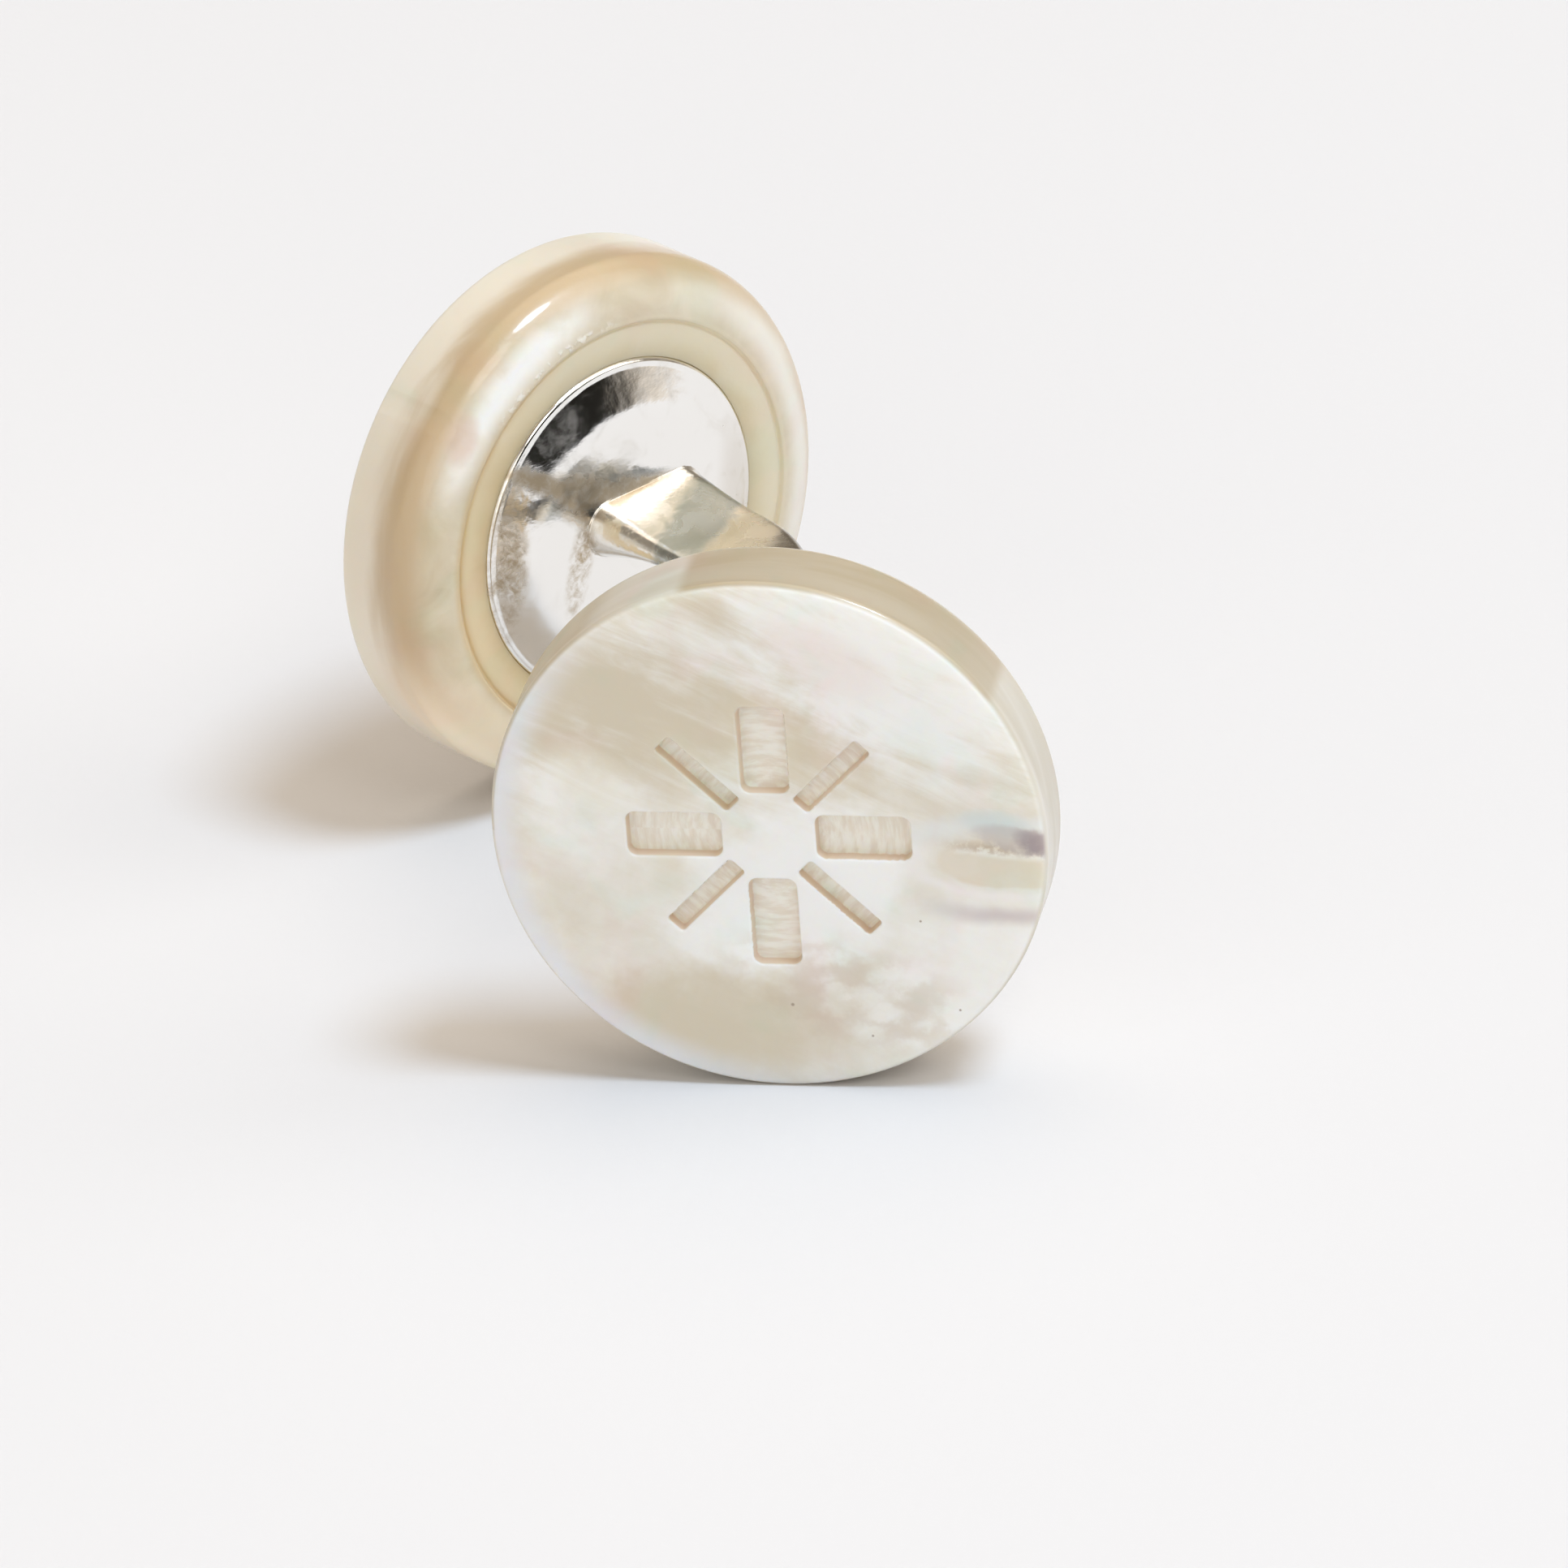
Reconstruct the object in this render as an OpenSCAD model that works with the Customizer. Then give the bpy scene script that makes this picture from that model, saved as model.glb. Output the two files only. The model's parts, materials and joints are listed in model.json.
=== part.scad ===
// Double-sided cufflink, resting on the rims of its two discs.
// +Z is up and the floor is Z = 0. The discs face -Y (front) and +Y (back), both turned a little
// towards -X, and the bar that joins them bulges towards +X. The origin is the centre of the
// footprint. Each disc and plate is drawn round its own axis first, with height measured outward
// from the crest of the disc's back.

/* [Discs] */
// Diameter of each disc
disc_d = 16; // [14:0.5:20]
// Thickness of each disc, from the crest of its back to its face
disc_t = 3.3; // [2.6:0.05:4.5]
// Radius of the rounded edge between the face and the side wall
edge_r = 0.2; // [0.1:0.05:0.6]
// How far the rounded shoulder reaches up the side wall
shoulder_h = 0.2; // [0.16:0.02:0.8]
// Radial width of the rounded shoulder
shoulder_w = 1.7; // [1.2:0.1:1.8]
// Angle between each disc's axis and the line that joins the discs
lean = 26; // [20:0.5:30]
// Distance between the crests of the two backs, measured at the disc axes
grip = 17.75; // [17:0.05:22]

/* [Collar round the plate] */
// Width of the smooth ring of pearl between the plate and the crest
collar_w = 1.15; // [0.8:0.05:1.3]
// How far the collar drops from the crest to the plate
collar_drop = 0.28; // [0.1:0.02:0.4]
// Depth of the fine turned line between the collar and the crest
line_depth = 0.08; // [0.04:0.01:0.15]
// Width of that line
line_w = 0.16; // [0.1:0.02:0.2]

/* [Plates] */
// Thickness of the plate's straight rim, most of it set in the pearl
plate_rim = 0.2; // [0.15:0.05:0.8]
// Radius of the plate's rolled edge
plate_edge = 0.33; // [0.2:0.01:0.4]
// Radius of the sphere that the plate's polished side is domed to
plate_dome = 36; // [30:1:80]
// Gap between the plate and the pearl
seat_gap = 0.05; // [0.02:0.01:0.1]

/* [Bar] */
// Width of the bar between its bends
bar_w = 3.6; // [3:0.1:4.5]
// Thickness of the bar between its bends
bar_t = 0.7; // [0.6:0.1:1.8]
// Width of the bar where it is soldered to a plate
foot_w = 4; // [3.5:0.1:5]
// Thickness of the bar where it is soldered to a plate
foot_t = 0.9; // [0.7:0.1:2]
// How far the middle of the bar stands out from the line between the plates
bar_bulge = 2.3; // [2:0.1:3.2]
// How far each foot is set off its plate's centre, towards the bulge
foot_offset = 0.5; // [0.3:0.05:1]
// Distance of each bend from the middle of the bar
bend_y = 5.6; // [5.2:0.1:6]
// Radius of each bend, along the bar's middle line
bend_r = 3; // [2.5:0.1:4]
// How far the bar lies above the middle of the discs
bar_lift = 0.4; // [0:0.05:0.5]

/* [Engraving] */
// Number of wide rays cut in the front face, with a narrow ray between each two
ray_pairs = 4; // [3:1:5]
// Distance from the face's centre to the inner end of a ray
ray_start = 1.35; // [1.3:0.05:2]
// Distance from the face's centre to the outer end of a ray
ray_end = 4.1; // [3.5:0.1:5.5]
// Width of a wide ray
wide_ray = 1.4; // [1:0.1:1.5]
// Width of a narrow ray
narrow_ray = 0.6; // [0.4:0.05:0.8]
// Depth of the rays
ray_depth = 0.4; // [0.2:0.05:0.8]
// Corner radius of a ray, as a share of its width
ray_corner = 0.2; // [0.1:0.05:0.45]

/* [Hidden] */

$fn = 96;
// Steps of the quarter ellipse on the shoulder
shoulder_steps = 12;
// Roundness of the thin slabs that a bar's foot is stretched between
slab_fn = 32;
// Thickness of such a slab
slab = 0.05;
// How far a cut runs past the surface that it starts from
past = 1;

disc_r = disc_d / 2;
crest_r = disc_r - shoulder_w;
plate_r = crest_r - collar_w - seat_gap;
seat_r = plate_r + seat_gap;
seat_floor = collar_drop + plate_rim + seat_gap;

// The footprint's middle: the farthest points of the discs on the -X and the +X side
reach_face_side = sin(lean) * (disc_t - edge_r) + cos(lean) * (disc_r - edge_r) + edge_r;
reach_open_side = cos(lean) * crest_r - sin(lean) * shoulder_h
                + norm([cos(lean) * shoulder_w, sin(lean) * shoulder_h]);
middle_x = (reach_open_side - reach_face_side) / 2;

// The bar's middle line, from the foot at the back plate to the bend on that side
foot_at = [foot_offset * cos(lean), grip / 2 + foot_offset * sin(lean)];
bend_at = [bar_bulge, bend_y];
foot_turn = atan2(bend_at[0] - foot_at[0], foot_at[1] - bend_at[1]);
foot_len = norm(bend_at - foot_at);
bend_reach = bend_r * tan(foot_turn / 2);
// How far the foot runs on into the plate: the deeper corner of its end stops halfway down the rim
foot_tilt = foot_turn - lean;
foot_sink = (collar_drop + plate_rim / 2 - foot_w / 2 * abs(sin(foot_tilt))) / cos(foot_tilt);

// Outline of a disc's section: radius, then height above the crest of its back
shoulder_outline = [for (i = [0 : shoulder_steps])
    let (a = 90 * i / shoulder_steps)
    [crest_r + shoulder_w * sin(a), shoulder_h * (1 - cos(a))]];
disc_outline = concat(
    [[0, disc_t], [0, seat_floor], [seat_r, seat_floor], [seat_r, collar_drop]],
    [[crest_r - line_w, line_depth], [crest_r - line_w / 2, 2 * line_depth]],
    shoulder_outline,
    [[disc_r, disc_t - edge_r], [disc_r - edge_r, disc_t - edge_r], [disc_r - edge_r, disc_t]]);

// Puts what is drawn round the Z axis where the disc on one side is: 1 for the back, -1 for the front
module at_disc(side) {
    translate([-middle_x, side * grip / 2, disc_r])
        rotate([0, 0, side > 0 ? lean : 180 - lean])
            rotate([-90, 0, 0])
                children();
}

// A disc with its rounded shoulder, its collar and the seat for the plate
module disc() {
    rotate_extrude() {
        polygon(disc_outline);
        translate([disc_r - edge_r, disc_t - edge_r])
            intersection() {
                circle(edge_r);
                square(edge_r);
            }
    }
}

// A rectangle with rounded corners, centred on the X axis
module rounded_bar(len, wide, corner) {
    translate([corner, -wide / 2])
        square([len - 2 * corner, wide]);
    translate([0, corner - wide / 2])
        square([len, wide - 2 * corner]);
    for (x = [corner, len - corner], y = [corner - wide / 2, wide / 2 - corner])
        translate([x, y])
            circle(corner, $fn = 32);
}

// One ray of the engraving, as the solid that the cutter takes away
module ray_cut(wide) {
    translate([ray_start, 0, disc_t - ray_depth])
        linear_extrude(ray_depth + past)
            rounded_bar(ray_end - ray_start, wide, wide * ray_corner);
}

module sunburst_cut() {
    for (i = [0 : ray_pairs - 1]) {
        turn = 90 + 360 * i / ray_pairs;
        rotate(turn)
            ray_cut(wide_ray);
        rotate(turn + 180 / ray_pairs)
            ray_cut(narrow_ray);
    }
}

// A plate with a rolled edge and a shallow dome, drawn as it sits in its seat
module plate() {
    rim_top = collar_drop - plate_edge;
    flat_r = plate_r - plate_edge;
    dome_centre = rim_top + sqrt(plate_dome ^ 2 - flat_r ^ 2);
    dome_top = dome_centre - plate_dome;
    rotate_extrude() {
        translate([0, collar_drop])
            square([plate_r, plate_rim]);
        translate([0, rim_top])
            square([flat_r, plate_edge]);
        translate([flat_r, collar_drop])
            intersection() {
                circle(plate_edge, $fn = 48);
                translate([0, -plate_edge])
                    square(plate_edge);
            }
        intersection() {
            translate([0, dome_centre])
                circle(plate_dome, $fn = 360);
            translate([0, dome_top])
                square([flat_r, rim_top - dome_top]);
        }
    }
}

// The bar's section: a flat strip with fully round edges, lying in the XY plane
module strip_section(wide, thick) {
    square([wide - thick, thick], center = true);
    for (side = [-1, 1])
        translate([side * (wide - thick) / 2, 0])
            circle(thick / 2, $fn = slab_fn);
}

// A thin slice of the strip, upright across the Y axis
module strip_slab(wide, thick) {
    rotate([90, 0, 0])
        linear_extrude(slab, center = true)
            strip_section(wide, thick);
}

// Half of the bar, from its middle to the foot inside the back plate
module half_bar() {
    straight = bend_at[1] - bend_reach;
    // Straight middle
    translate([bend_at[0], straight, 0])
        rotate([90, 0, 0])
            linear_extrude(straight)
                strip_section(bar_w, bar_t);
    // Bend
    translate([bend_at[0] - bend_r, straight, 0])
        rotate_extrude(angle = foot_turn)
            translate([bend_r, 0])
                strip_section(bar_w, bar_t);
    // Foot, which widens towards the plate and ends inside it
    translate([bend_at[0], bend_at[1], 0])
        rotate(foot_turn)
            hull() {
                translate([0, bend_reach - slab / 2, 0])
                    strip_slab(bar_w, bar_t);
                translate([0, foot_len + foot_sink, 0])
                    strip_slab(foot_w, foot_t);
            }
}

// Nearer disc, with the engraved face
module front_disc() {
    color([0.89, 0.85, 0.79])
        at_disc(-1)
            difference() {
                disc();
                sunburst_cut();
            }
}

// Farther disc, with a bare face
module back_disc() {
    color([0.87, 0.82, 0.72])
        at_disc(1)
            disc();
}

// Both plates and the bar, soldered into one piece
module link_bar() {
    color([0.78, 0.77, 0.75]) {
        at_disc(-1)
            plate();
        at_disc(1)
            plate();
        translate([-middle_x, 0, disc_r + bar_lift]) {
            half_bar();
            mirror([0, 1, 0])
                half_bar();
        }
    }
}

front_disc();
back_disc();
link_bar();
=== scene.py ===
"""Double-sided cufflink: two mother-of-pearl discs on silver plates, joined by a curved silver bar.

The cufflink's sizes are in millimetres until its meshes are placed. The floor, the lights and the camera
are placed in metres. A disc's own frame has its origin at the middle of the crest of its back, z outward to
its face and y upward; a face is looked at with x to the right. The finishes are laid out in that frame.
"""
import json
import math

import bmesh
import bpy
from mathutils import Matrix, Vector


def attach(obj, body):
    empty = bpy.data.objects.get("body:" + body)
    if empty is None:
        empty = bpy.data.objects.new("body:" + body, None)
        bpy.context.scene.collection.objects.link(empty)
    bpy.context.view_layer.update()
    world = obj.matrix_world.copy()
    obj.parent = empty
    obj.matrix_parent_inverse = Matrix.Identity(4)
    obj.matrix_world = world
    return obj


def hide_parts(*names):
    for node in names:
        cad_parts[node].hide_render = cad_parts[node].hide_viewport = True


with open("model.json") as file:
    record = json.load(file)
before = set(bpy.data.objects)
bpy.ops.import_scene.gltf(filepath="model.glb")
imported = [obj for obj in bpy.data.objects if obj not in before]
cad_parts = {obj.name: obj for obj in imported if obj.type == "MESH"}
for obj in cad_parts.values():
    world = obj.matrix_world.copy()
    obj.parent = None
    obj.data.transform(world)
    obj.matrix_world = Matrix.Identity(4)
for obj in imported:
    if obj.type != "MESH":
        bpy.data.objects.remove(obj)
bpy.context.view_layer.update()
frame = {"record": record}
MM = 0.001

# Disc: the rounded edge is on its face, the rounded shoulder on its back
DISC_R = 8.0
DISC_T = 3.3
EDGE_R = 0.2
SHOULDER_H = 1.15
SHOULDER_W = 1.7
COLLAR_W = 1.15
COLLAR_DROP = 0.28
# How far the collar stands up round the plate's rolled edge, and the radius of its lip there
COLLAR_STANDS = 0.09
COLLAR_LIP = 0.02
# Fine turned line between the collar and the crest of the back
LINE_DEPTH = 0.08
LINE_W = 0.16
# Gap under the plate, in its seat
SEAT_GAP = 0.05
CREST_R = DISC_R - SHOULDER_W

# Plate: its rolled edge, the height of its crown and the seam that shows round it
PLATE_R = CREST_R - COLLAR_W - SEAT_GAP
PLATE_RIM = 0.2
PLATE_ROLL = 0.2
PLATE_CROWN = 0.48
PLATE_SEAM = 0.006
# How far the rolled edge stands above the border just inside it
ROLL_PROUD = 0.03
# Radius of the sphere that the flatter middle follows, and where the border grows steeper
PLATE_DOME = 55.0
BORDER_FROM = 3.25
BORDER_TO = 4.1

# Bar: the distance between the crests of the backs, and how far each disc leans from that line
GRIP = 17.75
LEAN = math.radians(26)
BAR_W = 3.7
BAR_T = 0.7
FOOT_W = 4.0
FOOT_T = 0.9
BAR_BULGE = 2.5
BAR_LIFT = 0.4
FOOT_OFFSET = 0.5
BEND_Y = 5.6
BEND_R = 3.0
# How far the middle of the bar sags, and the stretch of each half over which it does
BAR_SAG = 0.3
SAG_FROM = 8.3
SAG_LEN = 3.8

# Solder: a long soft flare in depth and width, and a small fillet where it meets the plate
SOLDER_LEN = 2.6
SOLDER_RISE = 0.42
SOLDER_SPREAD = 0.22
SOLDER_R = 0.035
# How far the flare's end lies below the plate's crown, and how much further the strip runs on inside
SOLDER_BITE = 0.02
FOOT_SINK = 0.3

# Engraving: wide rays, with a narrow ray between each two
RAY_PAIRS = 4
RAY_START = 1.35
RAY_END = 4.1
WIDE_RAY = 1.4
NARROW_RAY = 0.6
RAY_DEPTH = 0.4
# Corner radius of a ray, as a share of its width
RAY_CORNER = 0.2
# Rounding of a ray's lip, lean of its wall and fillet at its floor
RAY_LIP = 0.05
RAY_TAPER = 0.05
RAY_FILLET = 0.09
# Distance between neighbouring points on a ray
RAY_SPACING = 0.05
# Height of the ripples on a ray's floor, and how far the cutter ran off its line
CHATTER = 0.07
RAGGED = 0.09
# Flat strip kept round a cut or an edge, so that its shading does not spread over the face
GUARD = 0.03

STEPS_ROUND = 256
# Height of the waves that hand polishing leaves in the silver
UNEVENNESS = 0.012

mounts = {mount["name"]: mount for mount in frame["record"]["mounts"]}


def disc_place(mount_name):
    """The matrix that takes a disc's own frame, in millimetres, to the row frame in metres."""
    mount = mounts[mount_name]
    outward = Vector(mount["axis"]).normalized()
    upward = Vector((0, 0, 1))
    across = upward.cross(outward)
    turn = Matrix((across, upward, outward)).transposed().to_4x4()
    crest = Vector(mount["pos_m"]) - outward * DISC_T * MM
    return Matrix.Translation(crest) @ turn @ Matrix.Scale(MM, 4)


FRONT = disc_place("front_face")
BACK = disc_place("back_face")


class Wire:
    """One output of a node. Maths written on it adds Math nodes to the same tree."""

    def __init__(self, bench, socket):
        self.bench = bench
        self.socket = socket

    def also(self, name):
        """Another output of the same node."""
        return Wire(self.bench, self.socket.node.outputs[name])

    def maths(self, operation, *others):
        return self.bench.maths(operation, self, *others)

    def __add__(self, other):
        return self.maths("ADD", other)

    def __radd__(self, other):
        return self.maths("ADD", other)

    def __sub__(self, other):
        return self.maths("SUBTRACT", other)

    def __rsub__(self, other):
        return self.bench.maths("SUBTRACT", other, self)

    def __mul__(self, other):
        return self.maths("MULTIPLY", other)

    def __rmul__(self, other):
        return self.maths("MULTIPLY", other)

    def __truediv__(self, other):
        return self.maths("DIVIDE", other)

    def __rtruediv__(self, other):
        return self.bench.maths("DIVIDE", other, self)

    def __pow__(self, other):
        return self.maths("POWER", other)

    def __neg__(self):
        return self.maths("MULTIPLY", -1.0)

    def __abs__(self):
        return self.maths("ABSOLUTE")


class Bench:
    """A node tree while it is being built."""

    def __init__(self, tree):
        self.tree = tree

    def add(self, kind, settings=None, sockets=None, out=0):
        """Adds a node: its settings first, then the values or wires of its sockets."""
        node = self.tree.nodes.new(kind)
        for name, value in (settings or {}).items():
            setattr(node, name, value)
        for name, value in (sockets or {}).items():
            self.connect(node.inputs[name], value)
        return Wire(self, node.outputs[out])

    def connect(self, socket, value):
        if isinstance(value, Wire):
            self.tree.links.new(value.socket, socket)
        elif isinstance(value, (list, tuple)) and isinstance(value[0], Wire):
            for wire in value:
                self.tree.links.new(wire.socket, socket)
        else:
            socket.default_value = value

    def maths(self, operation, *values):
        return self.add("ShaderNodeMath", {"operation": operation}, dict(enumerate(values)))

    def vector(self, operation, *values, out=0, **sockets):
        given = {**dict(enumerate(values)), **sockets}
        return self.add("ShaderNodeVectorMath", {"operation": operation}, given, out)

    def combine(self, x, y, z):
        return self.add("ShaderNodeCombineXYZ", None, {"X": x, "Y": y, "Z": z})

    def split(self, vector):
        parts = self.add("ShaderNodeSeparateXYZ", None, {"Vector": vector}, "X")
        return parts, parts.also("Y"), parts.also("Z")

    def rise(self, value, low, high):
        """0 below low and 1 above high, with a smooth step between them."""
        return self.add("ShaderNodeMapRange", {"interpolation_type": "SMOOTHSTEP"},
                        {"Value": value, "From Min": low, "From Max": high})

    def ridge(self, value, middle, reach):
        """1 where the value is at the middle, falling softly to 0 within its reach."""
        return 1 - self.rise(abs(value - middle), 0.0, reach)

    def patch(self, x, y, middle, reach, turn=0.0):
        """1 in the middle of a soft oval patch and 0 outside it; the turn is in degrees."""
        c, s = math.cos(math.radians(turn)), math.sin(math.radians(turn))
        dx, dy = x - middle[0], y - middle[1]
        along = (dx * c + dy * s) / reach[0]
        across = (dy * c - dx * s) / reach[1]
        return 1 - self.rise(along * along + across * across, 0.0, 1.0)

    def blend(self, first, second, share, how="MIX"):
        """Mixes two colours."""
        return self.add("ShaderNodeMix", {"data_type": "RGBA", "blend_type": how, "clamp_factor": True},
                        {0: share, 6: first, 7: second}, 2)

    def noise(self, where, scale, detail=4.0, roughness=0.5, distortion=0.0):
        """Cloudy noise; its other output, Color, holds three unlike clouds for a warp."""
        return self.add("ShaderNodeTexNoise", None, {
            "Vector": where, "Scale": scale, "Detail": detail, "Roughness": roughness,
            "Distortion": distortion})


def geometry_tree(name, inputs):
    """A new geometry tree with named inputs; returns it, its bench and a wire for each input."""
    tree = bpy.data.node_groups.new(name, "GeometryNodeTree")
    tree.interface.new_socket("Geometry", in_out="INPUT", socket_type="NodeSocketGeometry")
    for label, kind in inputs.items():
        tree.interface.new_socket(label, in_out="INPUT", socket_type="NodeSocket" + kind)
    tree.interface.new_socket("Geometry", in_out="OUTPUT", socket_type="NodeSocketGeometry")
    bench = Bench(tree)
    start = bench.add("NodeGroupInput")
    return tree, bench, {label: start.also(label) for label in ["Geometry", *inputs]}


def finish_tree(bench, shape, finish):
    """Ends a tree: instances realized, shaded smooth and given their finish."""
    real = bench.add("GeometryNodeRealizeInstances", None, {"Geometry": shape})
    smooth = bench.add("GeometryNodeSetShadeSmooth", None, {"Geometry": real, "Shade Smooth": True})
    done = bench.add("GeometryNodeSetMaterial", None, {"Geometry": smooth, "Material": finish})
    end = bench.tree.nodes.new("NodeGroupOutput")
    bench.connect(end.inputs["Geometry"], done)


def linked(name, data):
    """A new object in the scene for a mesh, a light or a camera."""
    thing = bpy.data.objects.new(name, data)
    bpy.context.scene.collection.objects.link(thing)
    return thing


def make(name, tree, start_mesh, place=None, **values):
    """Runs a geometry tree on a start mesh and keeps the result as a plain mesh, put in its place."""
    holder = linked(name + "_start", start_mesh)
    maker = holder.modifiers.new("Maker", "NODES")
    maker.node_group = tree
    for item in tree.interface.items_tree:
        label = item.name.replace(" ", "_").lower()
        if item.in_out == "INPUT" and label in values:
            maker[item.identifier] = values[label]
    bpy.context.view_layer.update()
    depsgraph = bpy.context.evaluated_depsgraph_get()
    mesh = bpy.data.meshes.new_from_object(holder.evaluated_get(depsgraph), depsgraph=depsgraph)
    mesh.name = name
    bpy.data.objects.remove(holder)
    if place:
        mesh.transform(place)
    point_outward(mesh)
    return linked(name, mesh)


def point_outward(mesh):
    work = bmesh.new()
    work.from_mesh(mesh)
    bmesh.ops.recalc_face_normals(work, faces=work.faces)
    work.to_mesh(mesh)
    work.free()


def discard(*pieces):
    for piece in pieces:
        bpy.data.objects.remove(piece)


def ease(t):
    """A smooth step from 0 to 1, held at 0 below the range and at 1 above it."""
    t = max(0.0, min(1.0, t))
    return t * t * (3 - 2 * t)


def arc(centre_r, centre_h, radius, first, last, steps):
    """Points of an arc in a turned outline; angles in degrees from the outward radius towards +h."""
    angles = [math.radians(first + (last - first) * i / steps) for i in range(steps + 1)]
    return [(centre_r + radius * math.cos(a), centre_h + radius * math.sin(a)) for a in angles]


def outline_mesh(name, points):
    """A turned outline, radius and height, as a line of vertices."""
    mesh = bpy.data.meshes.new(name)
    mesh.from_pydata([(r, 0, h) for r, h in points], [(i, i + 1) for i in range(len(points) - 1)], [])
    return mesh


def disc_back_outline():
    """From the middle of the seat under the plate out to the flat strip inside the face's edge."""
    seat_r = PLATE_R + PLATE_SEAM
    seat_floor = COLLAR_DROP + PLATE_RIM + SEAT_GAP
    seat = [(0, seat_floor), (seat_r / 2, seat_floor), (seat_r - GUARD, seat_floor), (seat_r, seat_floor)]
    seat += [(seat_r, seat_floor - GUARD)]
    collar_foot = COLLAR_DROP - COLLAR_STANDS
    collar_in = seat_r + COLLAR_LIP
    lip = arc(collar_in, collar_foot + COLLAR_LIP, COLLAR_LIP, 180, 262, 4)
    line_in = CREST_R - LINE_W
    hollow = 0.14
    collar = [(collar_in + (line_in - collar_in) * t,
               collar_foot + (LINE_DEPTH - collar_foot) * (t + hollow * math.sin(math.pi * t)))
              for t in (0.12, 0.25, 0.4, 0.55, 0.7, 0.85, 0.94, 1.0)]
    bite = 0.7 * LINE_DEPTH
    groove = [(line_in + LINE_W * t, LINE_DEPTH * (1 - t) + bite * math.sin(math.pi * t))
              for t in (0.12, 0.25, 0.38, 0.5, 0.62, 0.75, 0.88)]
    steps = 32
    shoulder = [(CREST_R + SHOULDER_W * math.sin(a), SHOULDER_H * (1 - math.cos(a)))
                for a in [math.pi / 2 * i / steps for i in range(steps + 1)]]
    wall_top = DISC_T - EDGE_R
    wall = [(DISC_R, SHOULDER_H + (wall_top - SHOULDER_H) * t)
            for t in (0.02, 0.1, 0.3, 0.5, 0.7, 0.9, 0.98)]
    edge = arc(DISC_R - EDGE_R, wall_top, EDGE_R, 0, 90, 10)
    face_strip = [(DISC_R - EDGE_R - GUARD, DISC_T)]
    return seat + lip + collar + groove + shoulder + wall + edge + face_strip


def plate_outline():
    """From the top of the plate's shallow crown down its steeper border and rolled edge to its underside."""
    flat_r = PLATE_R - PLATE_ROLL
    border_h = COLLAR_DROP - PLATE_ROLL + ROLL_PROUD
    roll = arc(flat_r, COLLAR_DROP, PLATE_ROLL, -66, 0, 8)
    steps = 60
    radii = [flat_r * i / steps for i in range(steps + 1)]
    extra = [0.0]
    for i in range(steps):
        middle = (radii[i] + radii[i + 1]) / 2
        extra.append(extra[-1] + ease((middle - BORDER_FROM) / (BORDER_TO - BORDER_FROM)) * flat_r / steps)
    gentle = 1 / (2 * PLATE_DOME)
    steep = (border_h + PLATE_CROWN - gentle * flat_r ** 2) / extra[-1]
    crown = [(r, -PLATE_CROWN + gentle * r ** 2 + steep * e) for r, e in zip(radii, extra)]
    under = COLLAR_DROP + PLATE_RIM
    return crown + roll + [(PLATE_R, under - GUARD), (PLATE_R, under), (PLATE_R - GUARD, under),
                           (PLATE_R / 2, under), (0, under)]


def turn_on_lathe(bench, outline, steps):
    """Turns an outline round the z axis: a grid whose columns are the outline's points."""
    count = bench.add("GeometryNodeAttributeDomainSize", {"component": "MESH"}, {"Geometry": outline})
    grid = bench.add("GeometryNodeMeshGrid", None, {"Vertices X": count, "Vertices Y": steps + 1})
    index = bench.add("GeometryNodeInputIndex")
    column = (index / (steps + 1)).maths("FLOOR")
    angle = index.maths("MODULO", steps + 1) / steps * math.tau
    here = bench.add("GeometryNodeInputPosition")
    point = bench.add("GeometryNodeSampleIndex", {"data_type": "FLOAT_VECTOR", "domain": "POINT"},
                      {"Geometry": outline, "Value": here, "Index": column})
    radius, _, height = bench.split(point)
    place = bench.combine(radius * angle.maths("COSINE"), radius * angle.maths("SINE"), height)
    turned = bench.add("GeometryNodeSetPosition", None, {"Geometry": grid, "Position": place})
    return bench.add("GeometryNodeMergeByDistance", None, {"Geometry": turned, "Distance": 1e-5})


def turning_tree():
    tree, bench, given = geometry_tree("Turned outline", {"Steps Round": "Int", "Finish": "Material"})
    finish_tree(bench, turn_on_lathe(bench, given["Geometry"], given["Steps Round"]), given["Finish"])
    return tree


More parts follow.
